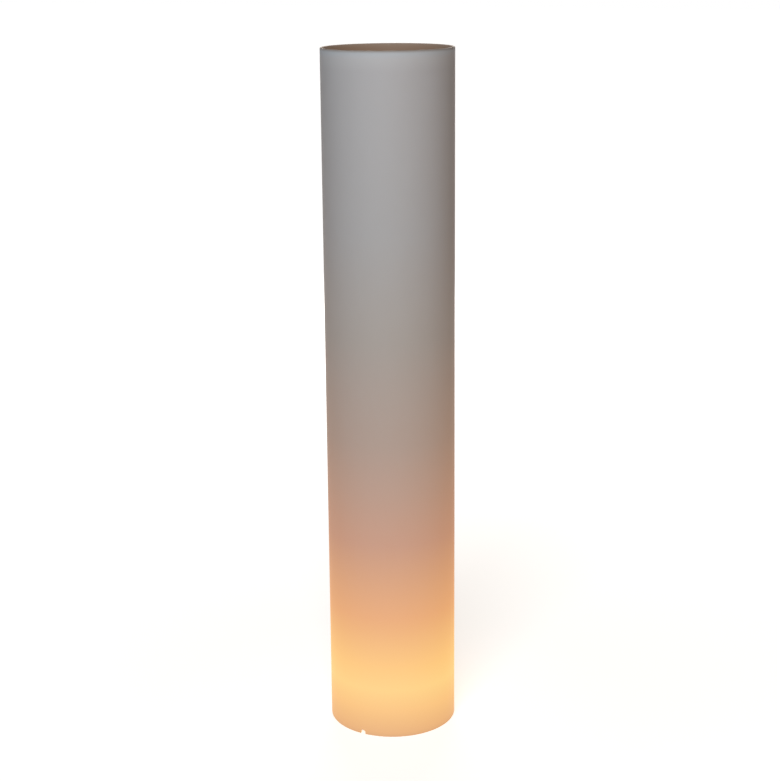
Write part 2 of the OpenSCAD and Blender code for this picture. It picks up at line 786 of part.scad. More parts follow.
module earth_lug() {
    barrel_from = barrel_x - lug_x;
    bore_from = barrel_from + barrel_l - bare_l - slip;
    color("silver") translate([lug_x, -lug_y, plate_z]) difference() {
        union() {
            upright(lug_d / 2, 0, lug_t);
            translate([0, -barrel_d / 2, 0]) cube([barrel_from + cut, barrel_d, lug_t]);
            translate([barrel_from, 0, barrel_d / 2]) rotate([0, 90, 0])
                cylinder(d = barrel_d, h = barrel_l);
        }
        upright(m4_d / 2 + hole_gap, -cut, lug_t + cut);
        translate([bore_from, 0, barrel_d / 2]) rotate([0, 90, 0])
            cylinder(r = bare_r + slip, h = barrel_l);
    }
}

module earth_screw() {
    color("silver") translate([lug_x, -lug_y, plate_z + lug_t]) m4_screw(lug_t + tapped_l);
}

// Half outline of the globe and its neck, drawn in by an inset, down to z = low
module globe_shape(inset, low) {
    intersection() {
        translate([0, globe_z]) circle(r = globe_r - inset);
        translate([0, low]) square([globe_d, globe_z + globe_d - low]);
    }
    difference() {
        polygon([[0, low], [neck_r - inset, low], [neck_r - inset, fillet_z],
            [fillet_x * touch, globe_z - (globe_z - fillet_z) * touch], [0, globe_z]]);
        translate([fillet_x, fillet_z]) circle(r = neck_fillet + inset);
    }
}

module bulb_glass() {
    color("linen") rotate_extrude() difference() {
        globe_shape(0, neck_low);
        globe_shape(glass_t, neck_low - cut);
    }
}

// Thread cap: its wall runs from the insulator up to the skirt that holds the glass
module bulb_cap() {
    rim_in_r = (plug_r + slip) * ring_fit;
    neck_in_r = (neck_r + slip) * ring_fit;
    wall_r = root_r - cap_wall;
    base_t = 0.8;
    ledge_h = 1;
    color("silver") ring_skin(concat(
        [plain_ring(rim_in_r, cap_low), plain_ring(root_r - base_t / 2, cap_low)],
        [plain_ring(root_r, cap_low + base_t / 2)],
        [for (z = thread_steps(thread_low, thread_high)) outer_ring(z, thread_low, thread_high)],
        [plain_ring(skirt_r, neck_low + cap_wall), plain_ring(skirt_r, cap_top)],
        [plain_ring(neck_in_r, cap_top), plain_ring(neck_in_r, neck_low - slip)],
        [plain_ring(wall_r, neck_low - ledge_h), plain_ring(wall_r, cap_low + base_t)],
        [plain_ring(rim_in_r, cap_low + base_t)]), true);
}

// Cone of black glass with a plug in the cap's lower end
module bulb_insulator() {
    low = tip_z + tip_h;
    high = low + insulator_h;
    color("black") rotate_extrude() polygon([[0, low], [tip_d / 2 + tip_border, low],
        [plug_r + cone_border, high], [plug_r, high], [plug_r, high + plug_h], [0, high + plug_h]]);
}

module bulb_contact() {
    edge_w = 1.2;
    edge_h = 0.7;
    color("silver") translate([0, 0, tip_z]) rotate_extrude()
        polygon([[0, 0], [tip_d / 2 - edge_w, 0], [tip_d / 2, edge_h], [tip_d / 2, tip_h], [0, tip_h]]);
}

// Glass mount: a flare that closes the neck, a tube and a button at its top
module bulb_stem() {
    flare_r = neck_r - glass_t - slip;
    flare_rise = 0.6;
    flare_z = neck_low + flare_rise;
    flare_top = flare_z + flare_r / 2;
    throat_r = button_d / 3;
    color("lightcyan") rotate_extrude() {
        polygon([[0, flare_z], [flare_r, flare_z], [flare_r, flare_z + glass_t], [stem_r, flare_top],
            [stem_r, stem_top - button_d], [throat_r, stem_top], [0, stem_top]]);
        intersection() {
            translate([0, stem_top]) circle(d = button_d);
            translate([0, stem_top - button_d]) square([button_d, 2 * button_d]);
        }
    }
}

// Two leads hold the filament's ends, and three thin hooks hold it between them
module bulb_leads() {
    open = (360 - filament_arc) / 2;
    lead_foot = [0, 0, stem_top - 2 * button_d];
    button_top = [0, 0, stem_top];
    arch = [0, 0, filament_z];
    color("gray") {
        for (a = [270 + open, 270 - open]) {
            way = [cos(a), sin(a), 0];
            rod(lead_foot + way * (stem_r - lead_d / 2), arch + way * hook_r, lead_d / 2);
        }
        for (a = [90 - filament_arc / 4, 90, 90 + filament_arc / 4]) {
            way = [cos(a), sin(a), 0];
            rod(button_top + way * (button_d - lead_d) / 2, arch + way * hook_r, lead_d / 4);
        }
    }
}

module bulb_filament() {
    color("orange") translate([0, 0, filament_z]) rotate(270 + (360 - filament_arc) / 2)
        rotate_extrude(angle = filament_arc) translate([filament_r, 0]) circle(d = filament_d);
}

shade_tube();
base_plate();
rubber_feet();
foot_screws();
cord_grommet();
terminal_block();
terminal_inserts();
terminal_screws();
block_screws();
holder_bracket();
bracket_screws();
holder_screws();
holder_body();
holder_shell();
centre_contact();
side_contact();
holder_terminal_screws();
live_wire();
neutral_wire();
earth_wire();
earth_lug();
earth_screw();
wiring_cover();
cover_screws();
bulb_glass();
bulb_cap();
bulb_insulator();
bulb_contact();
bulb_stem();
bulb_leads();
bulb_filament();
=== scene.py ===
# Column floor lamp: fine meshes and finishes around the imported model, in metres.
import math

import bpy
import numpy as np
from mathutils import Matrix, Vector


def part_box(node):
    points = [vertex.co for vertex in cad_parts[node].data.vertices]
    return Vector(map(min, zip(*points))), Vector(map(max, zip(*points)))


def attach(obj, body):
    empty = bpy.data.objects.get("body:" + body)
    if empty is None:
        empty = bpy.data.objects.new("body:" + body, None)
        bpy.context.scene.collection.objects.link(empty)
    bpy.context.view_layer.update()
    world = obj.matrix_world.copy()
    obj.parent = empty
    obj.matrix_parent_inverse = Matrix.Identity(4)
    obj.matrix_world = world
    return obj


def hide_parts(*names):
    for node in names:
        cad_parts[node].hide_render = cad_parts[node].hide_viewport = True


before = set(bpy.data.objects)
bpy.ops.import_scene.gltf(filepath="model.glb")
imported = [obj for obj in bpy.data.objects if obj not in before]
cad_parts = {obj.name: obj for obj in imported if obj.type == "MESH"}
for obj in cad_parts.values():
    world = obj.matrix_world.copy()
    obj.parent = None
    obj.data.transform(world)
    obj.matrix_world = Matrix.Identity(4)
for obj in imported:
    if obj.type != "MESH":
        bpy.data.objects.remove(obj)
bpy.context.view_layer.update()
print("frame loaded:", len(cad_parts), "nodes")

mm = 0.001
turn = 2 * math.pi
sharpFrom = 35.0  # degrees between two faces, past which their edge stays sharp


def linear(hexColour):
    # sRGB to linear: a straight toe up to 0.04045, then a power of 2.4
    channels = [int(hexColour[i:i + 2], 16) / 255 for i in (1, 3, 5)]
    return [c / 12.92 if c <= 0.04045 else ((c + 0.055) / 1.055) ** 2.4 for c in channels] + [1.0]


def addNode(tree, kind, values=None, links=None, stops=None, **settings):
    # values go to unlinked sockets, links join other nodes' outputs to sockets, stops fill a colour ramp
    node = tree.nodes.new(kind)
    for name, value in settings.items():
        setattr(node, name, value)
    for socket, value in (values or {}).items():
        node.inputs[socket].default_value = value
    for socket, source in (links or {}).items():
        tree.links.new(source, node.inputs[socket])
    if stops:
        ramp = node.color_ramp
        while len(ramp.elements) < len(stops):
            ramp.elements.new(1.0)
        for element, (position, colour) in zip(ramp.elements, stops):
            element.position = position
            element.color = linear(colour)
    return node


def newMaterial(name, **sockets):
    # A Principled material whose even values sit on the shader's own sockets. The last thing that it returns
    # is the place on the piece, in metres, that its patterns read.
    material = bpy.data.materials.new(name)
    material.use_nodes = True
    tree = material.node_tree
    shader = tree.nodes["Principled BSDF"]
    for socket, value in sockets.items():
        shader.inputs[socket.replace("_", " ")].default_value = value
    where = addNode(tree, "ShaderNodeTexCoord").outputs["Object"]
    return material, tree, shader, where


def addBump(tree, shader, height, distance, strength):
    # distance is how far the pattern would lift the surface, in metres
    bump = addNode(tree, "ShaderNodeBump", {"Strength": strength, "Distance": distance}, {"Height": height})
    tree.links.new(bump.outputs["Normal"], shader.inputs["Normal"])


def noise(tree, where, size, detail=2.0):
    # size is the width of one blotch in metres
    values = {"Scale": 1 / size, "Detail": detail, "Roughness": 0.5}
    return addNode(tree, "ShaderNodeTexNoise", values, {"Vector": where}).outputs["Fac"]


def blotched(tree, shader, factor, dark, light):
    # the colour wanders between two near tones with a noise
    ramp = addNode(tree, "ShaderNodeValToRGB", links={"Fac": factor}, stops=[(0.3, dark), (0.7, light)])
    tree.links.new(ramp.outputs["Color"], shader.inputs["Base Color"])


def roughened(tree, shader, factor, low, high):
    # the roughness wanders between two values with a noise
    reach = addNode(tree, "ShaderNodeMapRange", {"To Min": low, "To Max": high}, {"Value": factor})
    tree.links.new(reach.outputs["Result"], shader.inputs["Roughness"])


def stretched(tree, where, scale):
    # a small scale along an axis draws the pattern out along it
    return addNode(tree, "ShaderNodeMapping", {"Scale": scale}, {"Vector": where}).outputs["Vector"]


def meshPiece(name, points, material, closedRows=False, poles=(False, False)):
    # Skin over rows x columns of points; every row is a closed loop, and with closedRows the last row meets
    # the first. A pole row shrinks to its first point and is fanned. The faces' signed volume, the sum of
    # a . (b x c) over their triangles, is positive when they look outwards.
    rows, columns = points.shape[:2]
    first = 1 if poles[0] else 0
    last = rows - 1 if poles[1] else rows
    body = points[first:last].reshape(-1, 3)
    count = last - first
    row = np.arange(count if closedRows else count - 1)[:, None]
    column = np.arange(columns)[None, :]
    thisRow, nextRow = row * columns, (row + 1) % count * columns
    after = (column + 1) % columns
    quads = [thisRow + column, thisRow + after, nextRow + after, nextRow + column]
    faces = np.stack(quads, -1).reshape(-1, 4).tolist()
    tips = []
    ring = np.arange(columns)
    if poles[0]:
        tip = len(body)
        tips.append(points[0, :1])
        faces += np.stack([ring, np.full(columns, tip), np.roll(ring, -1)], -1).tolist()
    if poles[1]:
        tip = len(body) + len(tips)
        tips.append(points[-1, :1])
        top = ring + (count - 1) * columns
        faces += np.stack([top, np.roll(top, -1), np.full(columns, tip)], -1).tolist()
    vertices = np.concatenate([body] + tips)
    mesh = bpy.data.meshes.new(name)
    mesh.from_pydata(vertices.tolist(), [], faces)
    triangles = np.array([f[:3] for f in faces] + [[f[0], f[2], f[3]] for f in faces if len(f) == 4])
    a, b, c = (vertices[triangles[:, i]] for i in range(3))
    if np.einsum("ij,ij->i", a, np.cross(b, c)).sum() < 0:
        mesh.flip_normals()
    mesh.polygons.foreach_set("use_smooth", np.ones(len(mesh.polygons), bool))
    mesh.set_sharp_from_angle(angle=math.radians(sharpFrom))
    mesh.materials.append(material)
    piece = bpy.data.objects.new(name, mesh)
    bpy.context.scene.collection.objects.link(piece)
    return piece


def arc(centre, radius, start, stop, steps):
    # points of an arc in the (radius, height) half plane, angles in degrees
    t = np.radians(np.linspace(start, stop, steps))
    return np.stack([centre[0] + radius * np.cos(t), centre[1] + radius * np.sin(t)], -1)


def roundAngles(count):
    # equal steps of a full turn, in radians
    return np.arange(count) * turn / count


def spun(r, z, angle):
    # a profile's radii and heights, a row for each of its points, carried round the Z axis
    return np.stack([r * np.cos(angle), r * np.sin(angle), z + 0 * angle], -1)


def tubeAlong(path, radius, sides, reference):
    # A ring round every point of the path, square to its way, with closed ends. Each ring starts on the side
    # that the reference vectors point to.
    way = np.gradient(path, axis=0)
    way /= np.linalg.norm(way, axis=1, keepdims=True)
    side = reference - way * (reference * way).sum(1, keepdims=True)
    side /= np.linalg.norm(side, axis=1, keepdims=True)
    up = np.cross(way, side)
    angle = roundAngles(sides)[None, :, None]
    radius = np.broadcast_to(radius, len(path))[:, None, None]
    rings = path[:, None] + radius * (side[:, None] * np.cos(angle) + up[:, None] * np.sin(angle))
    tips = [np.repeat(path[i][None, None], sides, 1) for i in (0, -1)]
    return np.concatenate([tips[0], rings, tips[1]])


def place(piece, body, node):
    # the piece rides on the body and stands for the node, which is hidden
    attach(piece, body)
    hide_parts(node)


def finishNode(name, material):
    # every face of a carried node takes the one material
    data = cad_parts[name].data
    data.materials.clear()
    data.materials.append(material)
    data.polygons.foreach_set("material_index", np.zeros(len(data.polygons), np.int32))


def roundLamp(azimuth, distance, height):
    # the azimuth, in radians, is 0 in front of the lamp, on the notch's side, and grows to the right
    return np.array([math.sin(azimuth) * distance, -math.cos(azimuth) * distance, height])


def setUp(thing, right, up, back, spot):
    # a camera or a softbox stands at the spot and looks the other way from back
    bpy.context.scene.collection.objects.link(thing)
    matrix = np.eye(4)
    matrix[:3] = np.stack([right, up, back, spot], -1)
    thing.matrix_world = matrix.T.tolist()


# The eye stands right of the notch's side, above the tube's top, and looks down the column. Angles are in
# degrees, the focal length in pixels of the image, the sensor in mm and the rest in metres.
camera = {"azimuth": 29.0, "distance": 2.487, "height": 1.204, "yaw": 0.0145, "pitch": 14.936, "roll": -0.505,
          "focal": 1655.0, "imageWidth": 780, "sensor": 36.0, "sight": 200.0}


def makeCamera():
    # azimuth is the eye's place round the lamp, yaw what it then turns to the left of the lamp's axis
    azimuth, yaw, pitch, roll = (math.radians(camera[k]) for k in ("azimuth", "yaw", "pitch", "roll"))
    heading = azimuth + yaw
    right = np.array([math.cos(heading), math.sin(heading), 0])
    level = np.array([-math.sin(heading), math.cos(heading), 0])
    ahead = level * math.cos(pitch) - np.array([0, 0, math.sin(pitch)])
    up = np.cross(right, ahead)
    rolledRight = right * math.cos(roll) + up * math.sin(roll)
    rolledUp = up * math.cos(roll) - right * math.sin(roll)
    data = bpy.data.cameras.new("camera")
    data.sensor_fit = "HORIZONTAL"
    data.sensor_width = camera["sensor"]
    data.lens = camera["sensor"] * camera["focal"] / camera["imageWidth"]
    data.clip_end = camera["sight"]
    eye = bpy.data.objects.new("camera", data)
    setUp(eye, rolledRight, rolledUp, -ahead, roundLamp(azimuth, camera["distance"], camera["height"]))
    bpy.context.scene.camera = eye


makeCamera()
print("camera placed")


# The floor's own glow lights nothing. It grows with the distance from the lamp, from glowNear to glowFar,
# each a distance and a strength. The softboxes stand boxDistance from the lamp's axis, boxHeight up, and
# face the point boxAim up on it.
stage = {"floorHalf": 30.0, "floorGrey": "#E6E6E4", "glowNear": (0.4, 0.6), "glowFar": (3.0, 0.97),
         "ambient": "#FFEBD5", "ambientStrength": 0.1, "backStrength": 1.0,
         "boxDistance": 3.2, "boxHeight": 1.7, "boxAim": 0.6, "boxSize": (1.8, 2.4)}
# a large cool softbox close to the eye, a weak warm one at its right and one behind the lamp
softboxes = {"coolBox": {"azimuth": 19.0, "watts": 96, "colour": "#ECF8FF"},
             "warmBox": {"azimuth": 50.0, "watts": 14, "colour": "#FFC270"},
             "backBox": {"azimuth": 208.0, "watts": 50, "colour": "#FFF6EE"}}


def seenDirectly(tree):
    # 1 for rays from the eye, off gloss and through glass, 0 for the light that the stage gives
    rays = addNode(tree, "ShaderNodeLightPath").outputs
    seen = rays["Is Camera Ray"]
    for ray in ("Is Glossy Ray", "Is Transmission Ray"):
        seen = addNode(tree, "ShaderNodeMath", links={0: seen, 1: rays[ray]}, operation="MAXIMUM").outputs[0]
    return seen


def makeFloor():
    # a plain grey floor that takes the lamp's shadow, with a glow that makes it white to look at
    material = bpy.data.materials.new("paleFloor")
    material.use_nodes = True
    tree = material.node_tree
    tree.nodes.remove(tree.nodes["Principled BSDF"])
    plain = addNode(tree, "ShaderNodeBsdfDiffuse", {"Color": linear(stage["floorGrey"])})
    where = addNode(tree, "ShaderNodeTexCoord").outputs["Object"]
    away = addNode(tree, "ShaderNodeVectorMath", links={0: where}, operation="LENGTH").outputs["Value"]
    (near, nearGlow), (far, farGlow) = stage["glowNear"], stage["glowFar"]
    grown = addNode(tree, "ShaderNodeMapRange", {"From Min": near, "From Max": far, "To Min": nearGlow,
                                                 "To Max": farGlow}, {"Value": away})
    glow = addNode(tree, "ShaderNodeEmission", {"Color": (1, 1, 1, 1)}, {"Strength": grown.outputs["Result"]})
    lifted = addNode(tree, "ShaderNodeAddShader", links={0: plain.outputs[0], 1: glow.outputs[0]})
    both = addNode(tree, "ShaderNodeMixShader", links={0: seenDirectly(tree), 1: plain.outputs[0],
                                                       2: lifted.outputs[0]})
    tree.links.new(both.outputs[0], tree.nodes["Material Output"].inputs["Surface"])
    half = stage["floorHalf"]
    corners = [(-half, -half, 0), (half, -half, 0), (half, half, 0), (-half, half, 0)]
    mesh = bpy.data.meshes.new("floor")
    mesh.from_pydata(corners, [], [(0, 1, 2, 3)])
    mesh.materials.append(material)
    floor = bpy.data.objects.new("floor", mesh)
    bpy.context.scene.collection.objects.link(floor)


def makeWorld():
    # a weak warm room light, and a white that is only looked at
    world = bpy.data.worlds.new("studio")
    bpy.context.scene.world = world
    world.use_nodes = True
    tree = world.node_tree
    tree.nodes.clear()
    light = addNode(tree, "ShaderNodeBackground", {"Color": linear(stage["ambient"]),
                                                   "Strength": stage["ambientStrength"]})
    back = addNode(tree, "ShaderNodeBackground", {"Color": (1, 1, 1, 1), "Strength": stage["backStrength"]})
    both = addNode(tree, "ShaderNodeMixShader", links={0: seenDirectly(tree), 1: light.outputs[0],
                                                       2: back.outputs[0]})
    output = addNode(tree, "ShaderNodeOutputWorld")
    tree.links.new(both.outputs[0], output.inputs["Surface"])


def makeSoftbox(name, box):
    data = bpy.data.lights.new(name, "AREA")
    data.shape = "RECTANGLE"
    data.size, data.size_y = stage["boxSize"]
    data.energy = box["watts"]
    data.color = linear(box["colour"])[:3]
    spot = roundLamp(math.radians(box["azimuth"]), stage["boxDistance"], stage["boxHeight"])
    back = spot - [0, 0, stage["boxAim"]]
    back = back / np.linalg.norm(back)
    right = np.cross([0, 0, 1], back)
    right = right / np.linalg.norm(right)
    setUp(bpy.data.objects.new(name, data), right, np.cross(back, right), back, spot)


makeFloor()
makeWorld()
for boxName, box in softboxes.items():
    makeSoftbox(boxName, box)
bpy.context.scene.view_settings.view_transform = "Standard"
print("stage lit")


# The notch's lift fades out up to notchBlend, where the wall has footSteps rows of points. Two columns stand
# notchEdge beside the notch, and the even ones keep notchClear times its half width away. On the cut edge
# the colours pass from the outer wall's to the inner one's between cutFrom and cutTo, measured inwards.
shade = {"columns": 360, "wallSteps": 36, "footSteps": 8, "wall": 4 * mm, "lip": 1.4 * mm, "lipSteps": 7,
         "notchWidth": 9 * mm, "notchHeight": 6.5 * mm, "notchSteps": 25, "notchBlend": 30 * mm,
         "notchEdge": 0.02 * mm, "notchClear": 1.5, "cutFrom": 1.8 * mm, "cutTo": 2.6 * mm}
# Colours by height in mm, of the outer and the inner wall. The base colours are the opal's own grey with
# painted
# shade: darker towards the bottom, dark on the cut top edge and brown on the inner wall, with a painted
# highlight in a bluish strip under the rim. The lit colours are painted light: the bulb's glow through the
# wall and on its inside, given as emission
shadeGlow = {
    "outerShadedBase": [(0, "#565A62"), (5, "#4E5158"), (180, "#585662"), (400, "#6C757B"), (640, "#8B8B8A"),
                 (800, "#96999C"), (1035, "#A19FA1"), (1054, "#A8A6A8"), (1059, "#A6A8AD"),
                 (1063.8, "#A6A8AD"), (1065, "#82776F")],
    "outerLit": [(0, "#CF965C"), (5, "#E2A767"), (45, "#F3BB6D"), (80, "#F7C973"), (115, "#F6BF68"),
                 (200, "#DF9C57"), (320, "#B4784C"), (480, "#845D40"), (640, "#594437"), (800, "#3E2410"),
                 (1065, "#0C0402")],
    "innerShadedBase": [(0, "#A6A29C"), (600, "#9A8C80"), (1065, "#8C786A")],
    "innerLit": [(0, "#E9AE6C"), (80, "#FFD797"), (160, "#F2BC7C"), (330, "#C29066"), (600, "#82624A"),
                 (1000, "#3C2C20"), (1058, "#342619"), (1062, "#3E342B"), (1065, "#4A4540")],
}


def notchTop(x):
    # height of the notch over a point beside its middle: a half circle on two short straight sides
    r = shade["notchWidth"] / 2
    straight = shade["notchHeight"] - r
    return np.where(np.abs(x) <= r, straight + np.sqrt(np.maximum(r * r - x * x, 0)), 0.0)


def shadePoints():
    # The wall's outline, outside up and inside down with quarter-circle lips, is carried round the axis.
    # Near the notch the lowest stretch of the outline is squeezed upwards to the notch's edge.
    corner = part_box("shade_tube")[1]
    outer, height = corner.x, corner.z
    inner, lip, steps, blend = outer - shade["wall"], shade["lip"], shade["lipSteps"], shade["notchBlend"]
    heights = np.concatenate([np.linspace(lip, blend, shade["footSteps"])[1:],
                              np.linspace(blend, height - lip, shade["wallSteps"])[1:-1]])
    profile = np.concatenate([
        arc((outer - lip, lip), lip, -90, 0, steps),
        np.stack([np.full(len(heights), outer), heights], -1),
        arc((outer - lip, height - lip), lip, 0, 90, steps),
        arc((inner + lip, height - lip), lip, 90, 180, steps),
        np.stack([np.full(len(heights), inner), heights[::-1]], -1),
        arc((inner + lip, lip), lip, 180, 270, steps)])
    half = shade["notchWidth"] / 2
    inNotch = half * np.sin(np.radians(np.linspace(-90, 90, shade["notchSteps"])))
    beside = half + shade["notchEdge"]
    across = np.concatenate([[-beside], inNotch, [beside]])
    notchAngle = np.arcsin(across / outer) - turn / 4
    even = roundAngles(shade["columns"]) - turn / 2
    even = even[np.abs(even + turn / 4) > shade["notchClear"] * beside / outer]
    angle = np.concatenate([even, notchAngle])
    lift = np.concatenate([np.zeros(len(even)), notchTop(across)])
    order = np.argsort(angle)
    angle, lift = angle[order], lift[order]
    r, z = profile[:, :1], profile[:, 1:]
    share = np.clip(1 - z / blend, 0, 1)
    return spun(r, z + share * lift, angle)


def opalAcrylic():
    # Opal acrylic, extruded and satin finished: the white pigment scatters the bulb's light, so it glows
    # evenly round and fades with height. That glow is painted light, an emission by height, and the base
    # colour by height carries painted shade. A fine grain breaks its sheen, and die lines run faintly along
    # it.
    material, tree, shader, where = newMaterial("satinOpalAcrylic", IOR=1.49, Specular_IOR_Level=0.1,
                                                Emission_Strength=1.0)
    dieLines = noise(tree, stretched(tree, where, (1.0, 1.0, 0.004)), 3.0 * mm, 1.0)
    roughened(tree, shader, dieLines, 0.5, 0.6)
    addBump(tree, shader, noise(tree, where, 0.4 * mm), 0.004 * mm, 0.5)
    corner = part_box("shade_tube")[1]
    outer, height = corner.x, corner.z
    parts = addNode(tree, "ShaderNodeSeparateXYZ", links={"Vector": where}).outputs
    share = addNode(tree, "ShaderNodeMath", {1: height}, {0: parts["Z"]}, operation="DIVIDE").outputs[0]
    ramps = {}
    for name, stops in shadeGlow.items():
        ramp = addNode(tree, "ShaderNodeValToRGB", links={"Fac": share},
                       stops=[(at * mm / height, colour) for at, colour in stops])
        ramps[name] = ramp.outputs["Color"]
    flat = addNode(tree, "ShaderNodeCombineXYZ", links={"X": parts["X"], "Y": parts["Y"]}).outputs[0]
    radius = addNode(tree, "ShaderNodeVectorMath", links={0: flat}, operation="LENGTH").outputs["Value"]
    cut = {"From Min": outer - shade["cutFrom"], "From Max": outer - shade["cutTo"]}
    inside = addNode(tree, "ShaderNodeMapRange", cut, {"Value": radius}).outputs["Result"]
    # the base colour by height with painted shade, and the bulb's painted glow as emission
    for kind, socket in (("ShadedBase", "Base Color"), ("Lit", "Emission Color")):
        # socket 0 of the Mix node is its factor, 6 and 7 are its colours, and output 2 is their mix
        walls = {0: inside, 6: ramps["outer" + kind], 7: ramps["inner" + kind]}
        colour = addNode(tree, "ShaderNodeMix", links=walls, data_type="RGBA").outputs[2]
        tree.links.new(colour, shader.inputs[socket])
    return material


def makeShade():
    piece = meshPiece("opal_tube", shadePoints(), opalAcrylic(), closedRows=True)
    place(piece, "shade", "shade_tube")


makeShade()
print("opal tube made")


def whitePowderCoat():
    # Polyester powder, sprayed and baked on steel: a fine orange peel softens its satin gloss
    material, tree, shader, where = newMaterial("bakedPowderCoat", IOR=1.5)
    blotched(tree, shader, noise(tree, where, 40 * mm), "#E4E2DB", "#EDEBE5")
    roughened(tree, shader, noise(tree, where, 12 * mm), 0.36, 0.5)
    addBump(tree, shader, noise(tree, where, 1.4 * mm, 3.0), 0.05 * mm, 0.6)
    return material


def zincPlatedSteel():
    # Cold-headed or pressed steel with electroplated zinc: bright grey with a faint blue and straw bloom
    material, tree, shader, where = newMaterial("zincPlatedSteel", Metallic=1.0)
    blotched(tree, shader, noise(tree, where, 2.5 * mm, 3.0), "#A6AEBA", "#C8C4B6")
    roughened(tree, shader, noise(tree, where, 0.8 * mm), 0.2, 0.38)
    addBump(tree, shader, noise(tree, where, 0.35 * mm), 0.01 * mm, 0.5)
    return material


def mouldedRubber():
    # Black rubber, moulded in an eroded tool: matt, with a fine grain and a grey bloom
    material, tree, shader, where = newMaterial("mouldedRubber", IOR=1.52, Specular_IOR_Level=0.35)
    blotched(tree, shader, noise(tree, where, 6 * mm, 4.0), "#161514", "#2B2927")
    roughened(tree, shader, noise(tree, where, 2 * mm), 0.66, 0.86)
    addBump(tree, shader, noise(tree, where, 0.5 * mm, 3.0), 0.04 * mm, 0.8)
    return material


def glazedPorcelain():
    # Electrical porcelain under a clear fired glaze: warm white, wet gloss, slow waves where the glaze ran
    material, tree, shader, where = newMaterial("glazedPorcelain", IOR=1.52, Coat_Weight=0.6,
                                                Coat_Roughness=0.05)
    blotched(tree, shader, noise(tree, where, 14 * mm, 4.0), "#E2DDD0", "#EFEBE1")
    roughened(tree, shader, noise(tree, where, 5 * mm), 0.12, 0.24)
    addBump(tree, shader, noise(tree, where, 7 * mm, 1.0), 0.12 * mm, 0.5)
    return material


def sheetBrass(name, dark, light, low, high):
    # Brass strip or tube: the cold work leaves fine marks, and air tones it unevenly
    material, tree, shader, where = newMaterial(name, Metallic=1.0)
    blotched(tree, shader, noise(tree, where, 4 * mm, 4.0), dark, light)
    roughened(tree, shader, noise(tree, where, 1.2 * mm), low, high)
    addBump(tree, shader, noise(tree, stretched(tree, where, (1.0, 1.0, 0.12)), 0.3 * mm), 0.01 * mm, 0.5)
    return material


def mouldedPolyamide():
    # Natural polyamide, injection moulded: milky and slightly translucent, with a dull sheen
    material, tree, shader, where = newMaterial("mouldedPolyamide", IOR=1.53, Subsurface_Weight=0.15,
                                                Subsurface_Scale=2 * mm)
    blotched(tree, shader, noise(tree, where, 8 * mm, 3.0), "#D9D4C3", "#E8E4D6")
    roughened(tree, shader, noise(tree, where, 3 * mm), 0.4, 0.55)
    addBump(tree, shader, noise(tree, where, 0.6 * mm), 0.015 * mm, 0.6)
    return material


def extrudedPvc(name, dark, light):
    # Soft PVC, extruded over the strands: satin, with slow ripples along the wire
    material, tree, shader, where = newMaterial(name, IOR=1.53)
    blotched(tree, shader, noise(tree, where, 5 * mm, 3.0), dark, light)
    roughened(tree, shader, noise(tree, where, 2 * mm), 0.3, 0.45)
    addBump(tree, shader, noise(tree, where, 1.5 * mm), 0.04 * mm, 0.6)
    return material


def strandedCopper():
    # Bare drawn copper strands under the screws: bright, with painted shade darkening the grooves between the
    # strands
    material, tree, shader, where = newMaterial("strandedCopper", Metallic=1.0)
    strands = noise(tree, stretched(tree, where, (1.0, 0.08, 1.0)), 0.25 * mm, 1.0)
    # the low grooves of the strand pattern take the dark tone: painted shade
    blotched(tree, shader, strands, "#8E4E30", "#D98D63")
    roughened(tree, shader, strands, 0.22, 0.4)
    addBump(tree, shader, strands, 0.06 * mm, 0.8)
    return material


# colours of the lit glass, from the neck's rim at 0 to the globe's top at 1
bulbGlow = [(0.0, "#9C6230"), (0.18, "#D08C48"), (0.36, "#FFC880"), (0.56, "#FFEBC4"), (0.8, "#FFE2B0"),
            (1.0, "#FFCF92")]


def etchedGlass():
    # Soda-lime glass, blown and etched inside: the outside is smooth, and the lit filament behind the etch
    # shows as a soft bright middle that dims towards the neck
    material, tree, shader, where = newMaterial("etchedBulbGlass", IOR=1.52, Emission_Strength=0.8)
    low, high = (corner.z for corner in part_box("bulb_glass"))
    height = addNode(tree, "ShaderNodeSeparateXYZ", links={"Vector": where}).outputs["Z"]
    share = addNode(tree, "ShaderNodeMapRange", {"From Min": low, "From Max": high}, {"Value": height})
    ramp = addNode(tree, "ShaderNodeValToRGB", links={"Fac": share.outputs["Result"]}, stops=bulbGlow)
    tree.links.new(ramp.outputs["Color"], shader.inputs["Emission Color"])
    blotched(tree, shader, noise(tree, where, 9 * mm, 3.0), "#D8D2C6", "#E6E1D8")
    roughened(tree, shader, noise(tree, where, 3 * mm), 0.16, 0.26)
    addBump(tree, shader, noise(tree, where, 0.5 * mm), 0.01 * mm, 0.5)
    return material


def rolledAluminium():
    # Aluminium sheet, drawn and rolled to the thread: bright bands round it from the rollers
    material, tree, shader, where = newMaterial("rolledAluminium", Metallic=1.0)
    blotched(tree, shader, noise(tree, where, 3 * mm, 3.0), "#B4B4B2", "#D2D1CD")
    bands = noise(tree, stretched(tree, where, (0.05, 0.05, 1.0)), 0.3 * mm)
    roughened(tree, shader, bands, 0.2, 0.38)
    addBump(tree, shader, bands, 0.02 * mm, 0.5)
    return material


def blackGlass():
    # Black glass, poured in the cap and pressed: deep gloss, with flow marks
    material, tree, shader, where = newMaterial("pressedBlackGlass", IOR=1.55)
    blotched(tree, shader, noise(tree, where, 4 * mm, 4.0), "#08080A", "#15141A")
    roughened(tree, shader, noise(tree, where, 2 * mm), 0.08, 0.2)
    addBump(tree, shader, noise(tree, where, 1.5 * mm), 0.05 * mm, 0.5)
    return material


